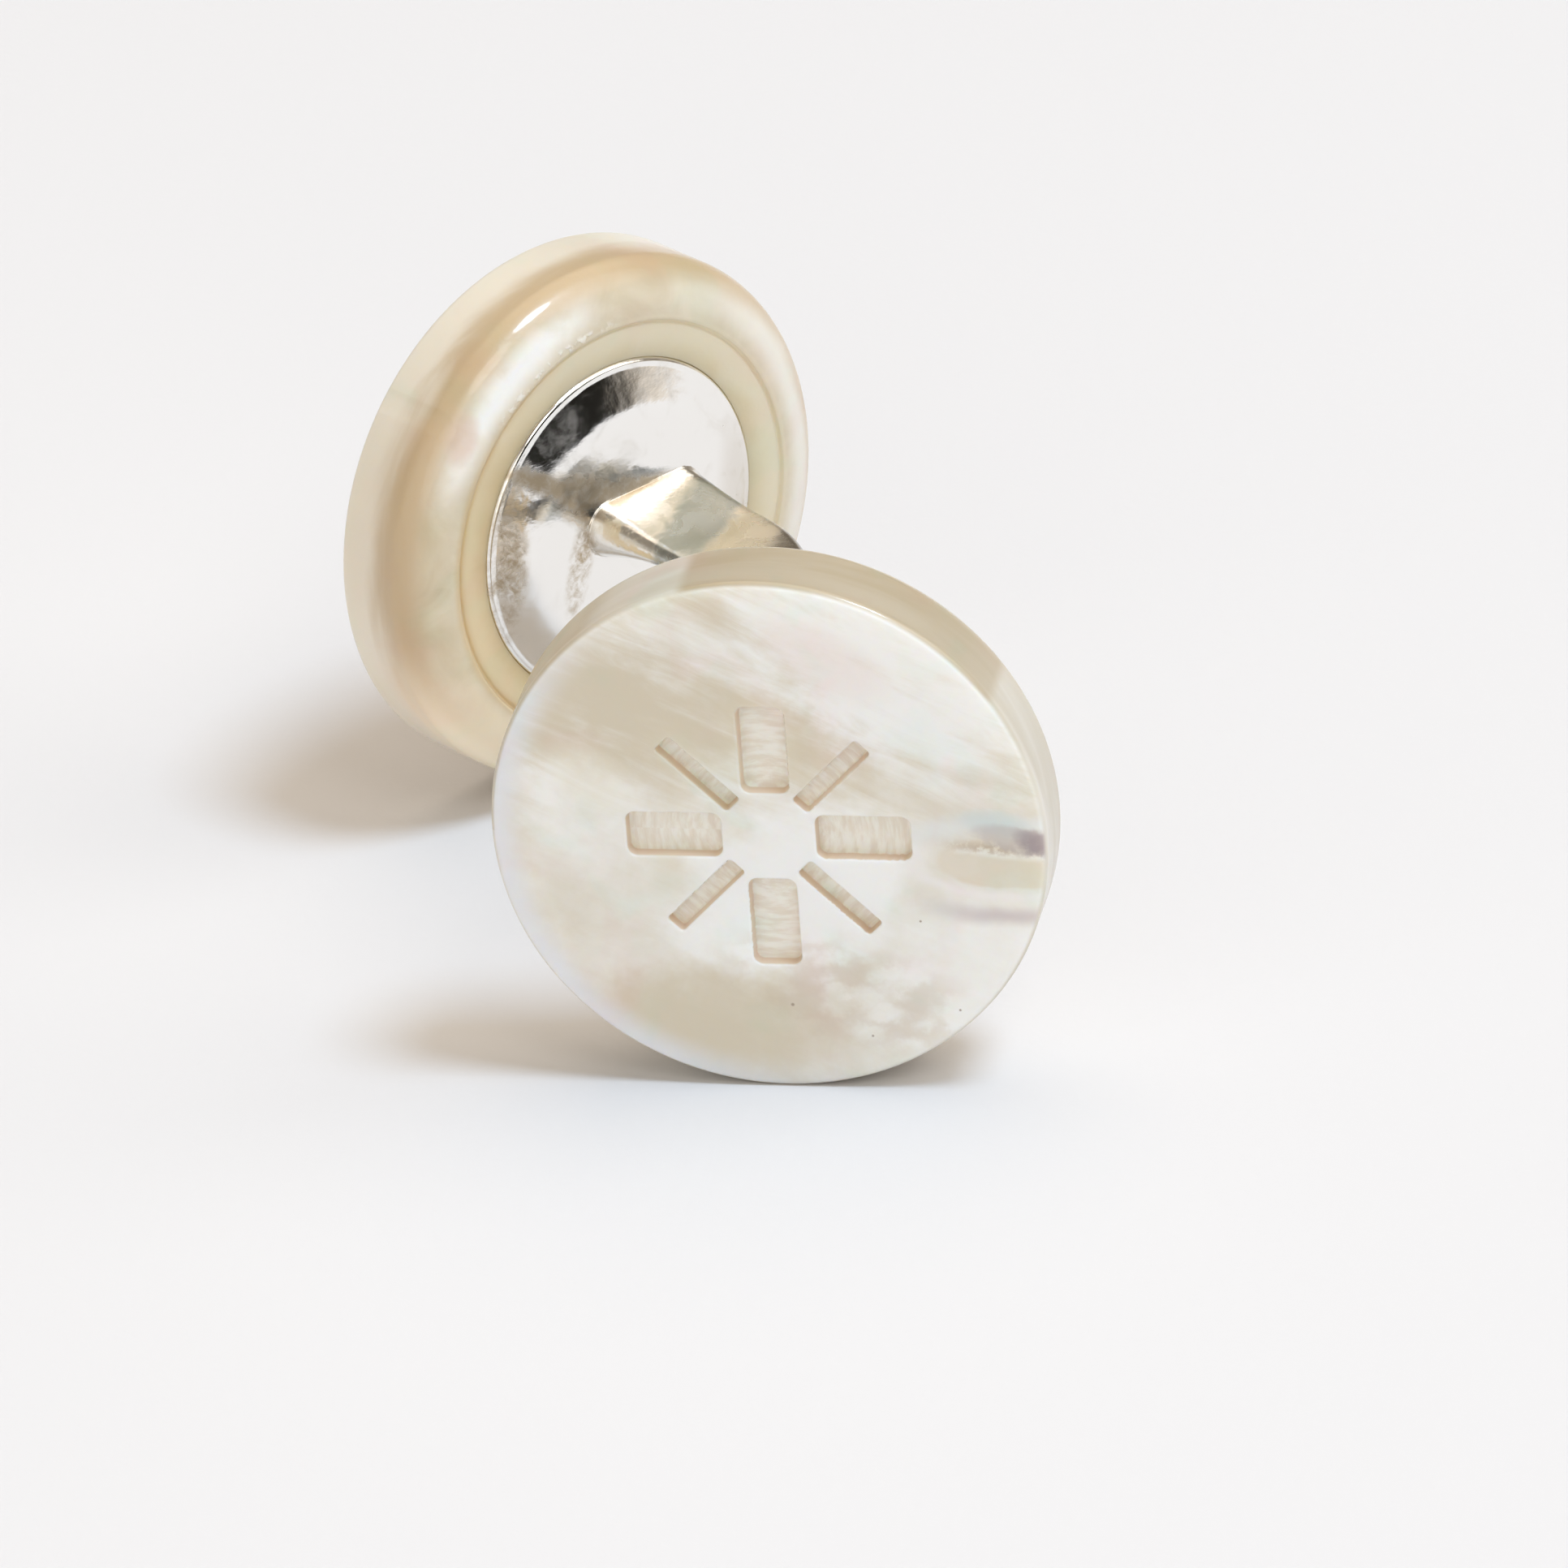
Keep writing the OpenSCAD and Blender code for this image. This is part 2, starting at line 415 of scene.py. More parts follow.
def engraved_tree():
    """A turned back and wall, closed by a flat face with a ring of cut rays."""
    tree, bench, given = geometry_tree("Engraved disc", {
        "Steps Round": "Int", "Finish": "Material", "Wide Ray": "Object", "Narrow Ray": "Object",
        "Ray Pairs": "Int", "Face Radius": "Float", "Face Height": "Float", "Chatter": "Float",
        "Ragged": "Float"})
    body = turn_on_lathe(bench, given["Geometry"], given["Steps Round"])
    step = math.tau / given["Ray Pairs"]
    rays = []
    for ray, first in (("Wide Ray", 0.0), ("Narrow Ray", 0.5)):
        shape = bench.add("GeometryNodeObjectInfo", None, {"Object": given[ray]}, "Geometry")
        spots = bench.add("GeometryNodePoints", None, {"Count": given["Ray Pairs"]})
        turn = math.pi / 2 + (bench.add("GeometryNodeInputIndex") + first) * step
        aim = bench.add("FunctionNodeEulerToRotation", None, {"Euler": bench.combine(0.0, 0.0, turn)})
        rays.append(bench.add("GeometryNodeInstanceOnPoints", None,
                              {"Points": spots, "Instance": shape, "Rotation": aim}))
    ring = bench.add("GeometryNodeJoinGeometry", None, {"Geometry": rays})
    cuts = bench.add("GeometryNodeRealizeInstances", None, {"Geometry": ring})
    sides = bench.add("GeometryNodeInputMeshEdgeNeighbors")
    rim = bench.add("FunctionNodeCompare", {"data_type": "INT", "operation": "EQUAL"}, {2: sides, 3: 1})
    outlines = bench.add("GeometryNodeMeshToCurve", None, {"Mesh": cuts, "Selection": rim})
    edge = bench.add("GeometryNodeCurvePrimitiveCircle", None,
                     {"Resolution": given["Steps Round"], "Radius": given["Face Radius"]})
    borders = bench.add("GeometryNodeJoinGeometry", None, {"Geometry": [edge, outlines]})
    face = bench.add("GeometryNodeFillCurve", None, {"Curve": borders})
    worn = tool_marks(bench, cuts, given["Chatter"], given["Ragged"])
    flat = bench.add("GeometryNodeJoinGeometry", None, {"Geometry": [face, worn]})
    lift = bench.combine(0.0, 0.0, given["Face Height"])
    raised = bench.add("GeometryNodeTransform", None, {"Geometry": flat, "Translation": lift})
    whole = bench.add("GeometryNodeJoinGeometry", None, {"Geometry": [body, raised]})
    closed = bench.add("GeometryNodeMergeByDistance", None, {"Geometry": whole, "Distance": 1e-4})
    finish_tree(bench, closed, given["Finish"])
    return tree


def tool_marks(bench, cuts, chatter, ragged):
    """Cross ripples on the floors of the rays, and the cutter's ragged run along one side."""
    here = bench.add("GeometryNodeInputPosition")
    x, y, _ = bench.split(here)
    reach = (x * x + y * y) ** 0.5
    bearing = y.maths("ARCTAN2", x)
    floor = bench.add("GeometryNodeInputNamedAttribute", {"data_type": "FLOAT"}, {"Name": "floor"})
    side = bench.add("GeometryNodeInputNamedAttribute", {"data_type": "FLOAT"}, {"Name": "side"})
    strokes = bench.noise(bench.combine(reach * 7.0, bearing * 5.0, 0.0), 1.0, 3.0, 0.6)
    bite = bench.noise(bench.combine(reach * 9.0, bearing * 1.5, 4.0), 1.0, 2.0, 0.7)
    away = bench.combine(-y / reach, x / reach, 0.0)
    sideways = bench.vector("SCALE", away, Scale=(bite - 0.5) * side * ragged)
    down = bench.combine(0.0, 0.0, (strokes - 0.5) * floor * chatter)
    return bench.add("GeometryNodeSetPosition", None,
                     {"Geometry": cuts, "Offset": bench.vector("ADD", sideways, down)})


def rounded_outline(half_l, half_w, corner):
    """Points and outward normals round a rectangle with rounded corners, the same in all quarters."""
    def spaced(first, last):
        steps = max(2, round(abs(last - first) / RAY_SPACING))
        return [first + (last - first) * i / steps for i in range(steps)]

    quarter = [(half_l, y, 1.0, 0.0) for y in spaced(0, half_w - corner)]
    turns = 8
    for i in range(turns):
        a = math.pi / 2 * i / turns
        quarter.append((half_l - corner + corner * math.cos(a), half_w - corner + corner * math.sin(a),
                        math.cos(a), math.sin(a)))
    quarter += [(x, half_w, 0.0, 1.0) for x in spaced(half_l - corner, 0)] + [(0.0, half_w, 0.0, 1.0)]
    left = [(-x, y, -nx, ny) for x, y, nx, ny in reversed(quarter[:-1])]
    top = quarter + left
    return top + [(-x, -y, -nx, -ny) for x, y, nx, ny in top[1:-1]]


def ray_section(width):
    """Inset and depth from the flat face over the lip, down the wall and across the floor."""
    fillet = min(RAY_FILLET, width / 10)
    inner = RAY_TAPER + fillet
    low = fillet - RAY_DEPTH
    lip = [(-RAY_LIP + RAY_LIP * math.sin(a), -RAY_LIP * (1 - math.cos(a)))
           for a in [math.pi / 2 * i / 5 for i in range(6)]]
    wall = [(RAY_TAPER * t, -RAY_LIP + (low + RAY_LIP) * t) for t in (0.33, 0.67)]
    foot = [(inner - fillet * math.cos(a), low - fillet * math.sin(a))
            for a in [math.pi / 2 * i / 4 for i in range(5)]]
    steps = max(2, round((width / 2 - inner) / RAY_SPACING))
    floor = [(inner + (width / 2 - inner) * (i + 1) / steps, -RAY_DEPTH) for i in range(steps)]
    return [(-RAY_LIP - GUARD, 0.0)] + lip + wall + foot + floor


def ray_mesh(name, width):
    """One cut ray along +x, as rings from its guard strip to the middle of its floor."""
    half_l, half_w = (RAY_END - RAY_START) / 2, width / 2
    outline = rounded_outline(half_l, half_w, width * RAY_CORNER)
    section = ray_section(width)
    middle = (RAY_START + RAY_END) / 2
    points, floor, side = [], [], []
    for inset, depth in section:
        keep_l, keep_w = half_l - inset, half_w - inset
        for x, y, nx, ny in outline:
            px = max(-keep_l, min(keep_l, x - inset * nx))
            py = max(-keep_w, min(keep_w, y - inset * ny))
            points.append((middle + px, py, depth))
            share = -depth / RAY_DEPTH
            # The ripples fade in over the lowest part; the ragged run is on one side wall only
            floor.append(max(0.0, (share - 0.6) / 0.4))
            side.append(max(0.0, -ny) if 0.025 < share < 0.98 else 0.0)
    count = len(outline)
    faces = []
    for ring in range(len(section) - 1):
        for i in range(count):
            j = (i + 1) % count
            here, inward = ring * count, (ring + 1) * count
            faces.append((here + i, here + j, inward + j, inward + i))
    mesh = bpy.data.meshes.new(name)
    mesh.from_pydata(points, [], faces)
    for label, values in (("floor", floor), ("side", side)):
        mesh.attributes.new(label, "FLOAT", "POINT").data.foreach_set("value", values)
    work = bmesh.new()
    work.from_mesh(mesh)
    bmesh.ops.remove_doubles(work, verts=work.verts, dist=1e-5)
    work.to_mesh(mesh)
    work.free()
    return mesh


def bar_stations():
    """The bar's middle line from one plate to the other: place, bearing across, half width, half depth."""
    straight_steps, bend_steps, foot_steps = 20, 12, 60
    foot = Vector((FOOT_OFFSET * math.cos(LEAN), GRIP / 2 + FOOT_OFFSET * math.sin(LEAN)))
    bend = Vector((BAR_BULGE, BEND_Y))
    turn = math.atan2(bend.x - foot.x, foot.y - bend.y)
    along = Vector((-math.sin(turn), math.cos(turn)))
    reach = BEND_R * math.tan(turn / 2)
    straight = BEND_Y - reach
    half = []
    for i in range(straight_steps):
        half.append((Vector((BAR_BULGE, straight * i / straight_steps)), 0.0, BAR_W / 2, BAR_T / 2))
    centre = Vector((BAR_BULGE - BEND_R, straight))
    for i in range(bend_steps):
        a = turn * i / bend_steps
        half.append((centre + BEND_R * Vector((math.cos(a), math.sin(a))), a, BAR_W / 2, BAR_T / 2))
    start = bend + reach * along
    end = (foot - start).length - (PLATE_CROWN - SOLDER_BITE) / math.cos(turn - LEAN)
    for i in range(foot_steps + 1):
        # Stations lie closer together towards the plate
        t = 1 - (1 - i / foot_steps) ** 1.5
        to_plate = end * (1 - t)
        flare = max(0.0, 1 - to_plate / SOLDER_LEN)
        near = max(0.0, 1 - to_plate / SOLDER_R)
        fillet = SOLDER_R * (1 - math.sqrt(1 - near ** 2))
        bearing = turn + (LEAN - turn) * t
        wide = BAR_W / 2 + (FOOT_W - BAR_W) / 2 * t + SOLDER_SPREAD * flare ** 2 + fillet
        thick = BAR_T / 2 + (FOOT_T - BAR_T) / 2 * t + SOLDER_RISE * flare ** 1.7 + fillet
        half.append((start + along * end * t, bearing, wide, thick))
    sunk = half[-1][0] + along * FOOT_SINK
    half.append((sunk, LEAN, half[-1][2], half[-1][3]))
    half.append((sunk, LEAN, 0.0, 0.0))
    other = [(Vector((p.x, -p.y)), -a, w, t) for p, a, w, t in reversed(half[1:])]
    return other + half


def bar_mesh():
    """The stations as a line of vertices that carry the strip's bearing and size."""
    stations = bar_stations()
    mesh = bpy.data.meshes.new("bar_line")
    places = [(p.x, p.y, BAR_LIFT - BAR_SAG * ease((SAG_FROM - abs(p.y)) / SAG_LEN))
              for p, *_ in stations]
    mesh.from_pydata(places, [], [])
    for label, column in (("bearing", 1), ("half_width", 2), ("half_depth", 3)):
        attribute = mesh.attributes.new(label, "FLOAT", "POINT")
        attribute.data.foreach_set("value", [station[column] for station in stations])
    return mesh


def strip_section_mesh():
    """Section of the strip: share of the flat half width, then the round edge's cosine and sine."""
    flats = 10
    turns = 14
    points = []
    for side in (1, -1):
        for i in range(turns + 1):
            a = math.pi * i / turns - math.pi / 2
            points.append((side, side * math.cos(a), side * math.sin(a)))
        for i in range(1, flats):
            points.append((side * (1 - 2 * i / flats), 0.0, side))
    mesh = bpy.data.meshes.new("strip_section")
    mesh.from_pydata(points, [], [])
    return mesh


def strip_tree():
    """A flat strip with round edges, swept along a line of stations."""
    tree, bench, given = geometry_tree("Strip along a line", {"Section": "Object", "Finish": "Material"})
    line = given["Geometry"]
    section = bench.add("GeometryNodeObjectInfo", None, {"Object": given["Section"]}, "Geometry")
    count = bench.add("GeometryNodeAttributeDomainSize", {"component": "MESH"}, {"Geometry": line})
    around = bench.add("GeometryNodeAttributeDomainSize", {"component": "MESH"}, {"Geometry": section})
    grid = bench.add("GeometryNodeMeshGrid", None, {"Vertices X": count, "Vertices Y": around + 1})
    index = bench.add("GeometryNodeInputIndex")
    column = (index / (around + 1)).maths("FLOOR")
    row = index.maths("MODULO", around + 1).maths("MODULO", around)
    here = bench.add("GeometryNodeInputPosition")

    def sampled(source, value, at, kind):
        return bench.add("GeometryNodeSampleIndex", {"data_type": kind, "domain": "POINT"},
                         {"Geometry": source, "Value": value, "Index": at})

    def carried(label):
        value = bench.add("GeometryNodeInputNamedAttribute", {"data_type": "FLOAT"}, {"Name": label})
        return sampled(line, value, column, "FLOAT")

    middle = sampled(line, here, column, "FLOAT_VECTOR")
    share, edge_x, edge_z = bench.split(sampled(section, here, row, "FLOAT_VECTOR"))
    bearing, half_w, half_t = carried("bearing"), carried("half_width"), carried("half_depth")
    sideways = share * (half_w - half_t) + edge_x * half_t
    offset = bench.combine(sideways * bearing.maths("COSINE"), sideways * bearing.maths("SINE"),
                           edge_z * half_t)
    swept = bench.add("GeometryNodeSetPosition", None,
                      {"Geometry": grid, "Position": bench.vector("ADD", middle, offset)})
    closed = bench.add("GeometryNodeMergeByDistance", None, {"Geometry": swept, "Distance": 1e-5})
    finish_tree(bench, closed, given["Finish"])
    return tree


def soldered_tree():
    """The bar and both plates as one closed solid, with the slight unevenness of hand polishing."""
    tree, bench, given = geometry_tree("Soldered together", {
        "Front Plate": "Object", "Back Plate": "Object", "Unevenness": "Float", "Finish": "Material"})
    parts = [given["Geometry"]]
    for label in ("Front Plate", "Back Plate"):
        parts.append(bench.add("GeometryNodeObjectInfo", None, {"Object": given[label]}, "Geometry"))
    joined = bench.add("GeometryNodeMeshBoolean", {"operation": "UNION", "solver": "EXACT"},
                       {"Mesh 2": parts})
    here = bench.add("GeometryNodeInputPosition")
    normal = bench.add("GeometryNodeInputNormal")
    wave = bench.noise(bench.vector("SCALE", here, Scale=700.0), 1.0, 2.0, 0.5) - 0.5
    push = bench.vector("SCALE", normal, Scale=wave * given["Unevenness"])
    uneven = bench.add("GeometryNodeSetPosition", None, {"Geometry": joined, "Offset": push})
    finish_tree(bench, uneven, given["Finish"])
    return tree


def new_material(name):
    material = bpy.data.materials.new(name)
    material.use_nodes = True
    material.node_tree.nodes.clear()
    return material, Bench(material.node_tree)


def output(bench, shader):
    end = bench.tree.nodes.new("ShaderNodeOutputMaterial")
    bench.connect(end.inputs["Surface"], shader)


def own_frame(bench, place):
    """Object coordinates turned into a disc's own frame, in millimetres."""
    where = bench.add("ShaderNodeTexCoord", None, None, "Object")
    spot, turn, size = place.decompose()
    return bench.add("ShaderNodeMapping", {"vector_type": "TEXTURE"},
                     {"Vector": where, "Location": spot, "Rotation": turn.to_euler(), "Scale": size})


def tone(red, green, blue):
    """Screen levels, 0 to 255, as linear light."""
    def linear(level):
        level /= 255
        return level / 12.92 if level <= 0.04045 else ((level + 0.055) / 1.055) ** 2.4
    return linear(red), linear(green), linear(blue), 1.0


def pearl_shader(bench, colour, roughness, bump):
    """Polished mother-of-pearl: light sinks in a little, under a clear gloss."""
    output(bench, bench.add("ShaderNodeBsdfPrincipled", None, {
        "Base Color": colour, "Roughness": roughness, "IOR": 1.53, "Coat Weight": 0.5, "Coat Roughness": 0.05,
        "Coat IOR": 1.5, "Subsurface Weight": 0.55, "Subsurface Radius": (1.0, 0.8, 0.55),
        "Subsurface Scale": 0.0012, "Normal": bump}))


def faint_colours(bench, colour, spot, strength):
    """The pink and green shimmer of mother-of-pearl, as broad faint patches."""
    drift = bench.noise(spot, 0.33, 3.0, 0.5, 0.8)
    other = bench.noise(bench.vector("ADD", spot, (20.0, 7.0, 3.0)), 0.5, 2.0, 0.5, 0.5)
    colour = bench.blend(colour, (1.0, 0.88, 0.9, 1), bench.rise(drift, 0.52, 0.72) * strength, "MULTIPLY")
    return bench.blend(colour, (0.89, 1.0, 0.97, 1), bench.rise(other, 0.52, 0.7) * strength, "MULTIPLY")


def face_clouds(bench, x, y, spot):
    """How beige the front face is: soft clouds where the shell's layers come to the surface."""
    warp = bench.noise(spot, 0.45, 4.0, 0.6).also("Color")
    red, green, _ = bench.split(bench.vector("SUBTRACT", warp, (0.5, 0.5, 0.5)))
    bent_x, bent_y = x + red * 3.2, y + green * 2.4
    # Each cloud: how much beige it adds or takes away, its middle, its reach and its turn
    clouds = ((0.75, (-4.6, 4.0), (4.2, 2.8), -28), (0.6, (0.3, 3.2), (3.4, 1.7), -22),
              (0.75, (-2.4, -6.4), (5.2, 2.6), 8), (-0.75, (4.0, 5.6), (5.5, 3.6), -30),
              (-0.95, (0.6, -1.8), (4.4, 3.2), 30), (-0.6, (5.6, -4.6), (4.2, 3.4), 40),
              (-0.4, (-5.4, 0.6), (2.4, 2.2), -30))
    amount = 0.52
    for strength, middle, reach, turn in clouds:
        amount = amount + strength * bench.patch(bent_x, bent_y, middle, reach, turn)
    # Slanting fibres, stronger in the upper part
    slant = math.radians(-26)
    along = x * math.cos(slant) + y * math.sin(slant)
    across = y * math.cos(slant) - x * math.sin(slant)
    fibres = bench.noise(bench.combine(along * 0.28, across * 1.5, 2.0), 1.0, 6.0, 0.62, 0.6) - 0.5
    upper = bench.rise(y, -1.0, 3.5)
    amount = amount + fibres * (0.4 + 2.0 * upper)
    soft = bench.noise(spot, 0.75, 5.0, 0.55, 0.3) - 0.5
    return amount + soft * 0.9


def crumbs(bench, colour, x, y, spot):
    """Pale overlapping scales with darker gaps, in the lower part of the face."""
    warp = bench.noise(spot, 1.6, 3.0, 0.6).also("Color")
    bent = bench.vector("ADD", spot, bench.vector("SCALE", warp, Scale=0.9))
    flat = bench.vector("MULTIPLY", bent, (0.85, 1.5, 1.0))
    cells = bench.add("ShaderNodeTexVoronoi", {"feature": "SMOOTH_F1"},
                      {"Vector": flat, "Scale": 0.95, "Smoothness": 0.35, "Randomness": 1.0}, "Distance")
    here = bench.patch(x, y, (2.2, -5.0), (5.0, 2.0), -18)
    dark = bench.rise(cells, 0.35, 0.75) * here
    pale = bench.rise(0.32 - cells, 0.0, 0.25) * here
    colour = bench.blend(colour, tone(243, 241, 236), pale * 0.55)
    return bench.blend(colour, tone(206, 190, 170), dark * 0.5)


def natural_eye(bench, colour, x, y, spot):
    """The inclusion at the right of the face: a beige lens with a dark upper end and pale bands round it."""
    ragged = bench.noise(spot, 3.0, 5.0, 0.65) - 0.5
    waver = bench.noise(spot, 0.9, 3.0, 0.5) - 0.5
    # The lens: half an oval to the left of one place near the edge, and straight from there outward
    start_x, middle_y, half_l, half_h = 6.75, -0.7, 2.0, 0.8
    along = (x - start_x).maths("MINIMUM", 0.0) / half_l
    across = (y - middle_y + waver * 0.25) / half_h
    reach = (along * along + across * across) ** 0.5
    inside = 1 - bench.rise(reach, 0.9, 1.06)
    right = bench.rise(x, 3.4, 6.4)
    near = bench.rise(x, 2.2, 5.0)
    above = bench.rise(y, -0.6, 0.2)
    below = 1 - above
    colour = bench.blend(colour, tone(243, 240, 238), bench.ridge(reach, 1.32, 0.3) * near * below * 0.85)
    colour = bench.blend(colour, tone(231, 235, 236), bench.ridge(reach, 1.6, 0.7) * near * above * 0.7)
    colour = bench.blend(colour, tone(205, 219, 219), bench.patch(x, y, (6.5, 0.6), (1.3, 0.5), -8) * 0.5)
    colour = bench.blend(colour, tone(206, 196, 196), bench.ridge(reach, 2.1, 0.55) * right * below * 0.8)
    colour = bench.blend(colour, tone(228, 219, 202), inside * (0.7 + 0.3 * bench.rise(waver, -0.1, 0.1)))
    painted_reflection_wedge = bench.ridge(y + 0.085 * (x - 5.0) + 0.27 + waver * 0.2, 0.0, 0.2)
    colour = bench.blend(colour, tone(240, 237, 229), painted_reflection_wedge * inside * bench.rise(x, 5.0, 5.6))
    brow = bench.ridge(y + 0.06 * (x - 5.0) + ragged * 0.5, -0.12, 0.3) * bench.rise(ragged, -0.12, 0.06)
    colour = bench.blend(colour, tone(196, 178, 156), brow * bench.ridge(x, 6.4, 1.9) * 0.9)
    grey = bench.patch(x, y + ragged * 0.3, (7.3, 0.0), (1.9, 0.55), -14)
    colour = bench.blend(colour, tone(196, 188, 186), bench.rise(grey + ragged * 0.4, 0.1, 0.8) * 0.6)
    dark = bench.patch(x, y + ragged * 0.4, (7.85, -0.12), (1.25, 0.6), -25) + ragged * 0.5
    return bench.blend(colour, tone(158, 144, 150), bench.rise(dark, 0.25, 1.15) * 0.85)


def front_pearl():
    material, bench = new_material("pearl_front")
    spot = own_frame(bench, FRONT)
    x, y, z = bench.split(spot)
    reach = (x * x + y * y) ** 0.5
    beige = bench.rise(face_clouds(bench, x, y, spot), -0.35, 1.35)
    face = bench.blend(tone(247, 248, 246), tone(217, 207, 186), beige)
    face = bench.blend(face, tone(238, 220, 214), bench.patch(x, y, (2.0, 5.6), (2.6, 1.2), -30) * 0.4)
    face = bench.blend(face, tone(240, 236, 222), bench.patch(x, y, (-5.0, 1.8), (1.9, 1.1), -35) * 0.5)
    # Painted reflection: a cool pale rim near the face's edge on the lower left
    painted_edge_reflection = bench.rise(reach, 6.9, 7.8) * bench.rise(-1.4 * x - 0.5 * y, 1.0, 9.0)
    face = bench.blend(face, tone(228, 231, 238), painted_edge_reflection * 0.8)
    face = crumbs(bench, face, x, y, spot)
    face = natural_eye(bench, face, x, y, spot)
    # Each speck: its middle and its radius
    specks = (((0.33, -5.36), 0.07), ((2.58, -6.31), 0.05), ((5.16, -5.42), 0.05), ((4.2, -2.6), 0.05))
    for middle, radius in specks:
        face = bench.blend(face, tone(150, 130, 110), bench.patch(x, y, middle, (radius, radius)) * 0.8)
    # Cut rays: painted shade on the walls, and floors painted paler against the shade of the recess, with
    # fine cross lines
    strokes = bench.noise(bench.combine(reach * 5.0, y.maths("ARCTAN2", x) * 3.0, z), 1.0, 3.0, 0.6)
    cut_floor = bench.blend(tone(236, 229, 216), tone(249, 247, 239), bench.rise(strokes, 0.35, 0.65))
    cut_shade = bench.rise(z, DISC_T - 0.03, DISC_T - 0.1) * bench.rise(6.0 - reach, 0.0, 0.5)
    deep = bench.rise(z, DISC_T - 0.3, DISC_T - 0.37)
    face = bench.blend(face, tone(226, 206, 184), cut_shade)
    face = bench.blend(face, cut_floor, deep * cut_shade)
    # Side wall: translucent layers along the disc, with painted shade over the top and down the left side as
    # far as its middle, where the bearing jumps from pi to -pi and the colour has a step, out of the camera's
    # view
    bearing = y.maths("ARCTAN2", x)
    layers = bench.noise(bench.combine(x * 0.16, y * 0.16, z * 0.9), 1.0, 3.0, 0.5, 0.5)
    top_painted_shade = bench.rise(bearing, 0.56, 0.62) * bench.rise(1.86 - bearing, 0.0, 0.06)
    wall = bench.blend(tone(204, 196, 179), tone(219, 214, 203), bench.rise(layers, 0.3, 0.7))
    # Painted shade down the left side
    wall = bench.blend(wall, tone(188, 175, 150), bench.rise(bearing, 1.9, 2.4) * 0.75)
    # Painted shade over the top
    wall = bench.blend(wall, tone(184, 169, 142), top_painted_shade * (0.6 + 0.4 * bench.rise(layers, 0.3, 0.7)))
    on_wall = bench.rise(reach, DISC_R - 0.14, DISC_R - 0.02)
    colour = bench.blend(face, wall, on_wall)
    # The shoulder and the back, out of reach of the face's pattern
    behind = bench.rise(2.2 - z, 0.0, 0.6) * (1 - on_wall)
    colour = bench.blend(colour, back_tones(bench, reach, spot), behind)
    colour = faint_colours(bench, colour, spot, 0.4)
    ripple = bench.noise(spot, 0.9, 3.0, 0.5)
    bump = bench.add("ShaderNodeBump", None, {"Strength": 0.25, "Distance": 0.00002, "Height": ripple})
    gloss = 0.26 + 0.1 * bench.noise(spot, 1.3, 3.0, 0.6)
    pearl_shader(bench, colour, gloss + 0.25 * deep, bump)
    return material


def back_tones(bench, reach, spot):
    """Rings of the back: amber collar beside the plate, paler shoulder."""
    soft = bench.noise(spot, 0.55, 4.0, 0.55, 0.6)
    crest = bench.blend(tone(208, 193, 164), tone(227, 216, 193), bench.rise(soft, 0.22, 0.78))
    x, y, _ = bench.split(spot)
    side = bench.rise(0.7 * (x - y) + (soft - 0.5) * 4.0, -4.0, 3.0)
    deep = bench.blend(tone(218, 200, 160), tone(208, 176, 122), side)
    pale = bench.blend(tone(230, 219, 192), tone(224, 204, 164), side)
    amber = bench.blend(deep, pale, bench.rise(reach + soft * 0.9, 5.3, 6.4))
    colour = bench.blend(amber, crest, bench.rise(reach, 6.2, 6.5))
    return bench.blend(colour, tone(204, 170, 114), bench.ridge(reach + soft * 0.2, 6.36, 0.34) * side * 0.6)


